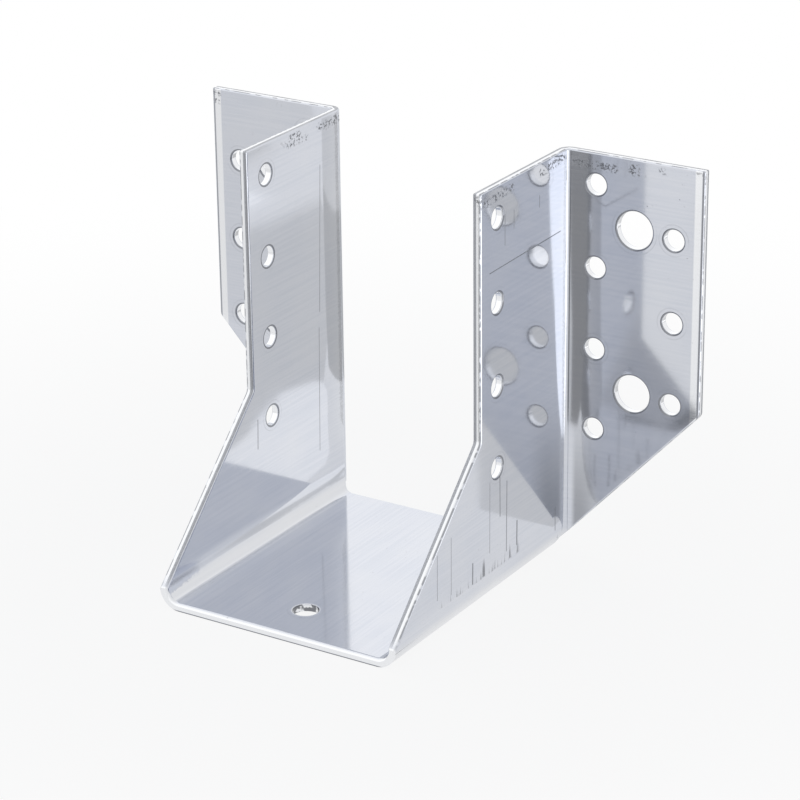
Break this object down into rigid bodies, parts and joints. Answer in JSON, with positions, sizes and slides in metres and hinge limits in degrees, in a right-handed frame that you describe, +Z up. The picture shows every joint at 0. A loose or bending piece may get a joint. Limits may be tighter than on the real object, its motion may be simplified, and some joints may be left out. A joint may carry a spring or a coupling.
{
  "type": "joist hanger",
  "caption": "Folded steel joist hanger: a seat between side walls that hold a joist, with outward flanges punched for nails and anchors that fix it to a header.",
  "frame": {"origin": "on the seat's underside, midway across and midway front to back, which is the bottom centre of the bounding box", "axes": "+X across the joist, +Y towards the header that the flanges lie against (the joist comes in from -Y), +Z up"},
  "size_m": [0.134, 0.078, 0.1],
  "materials": {
    "galvanized_sheet": "bright galvanized steel sheet with a fine rolled grain and half-gloss reflections"
  },
  "bodies": {
    "root": {"hanger": "galvanized_sheet"}
  },
  "joints": []
}
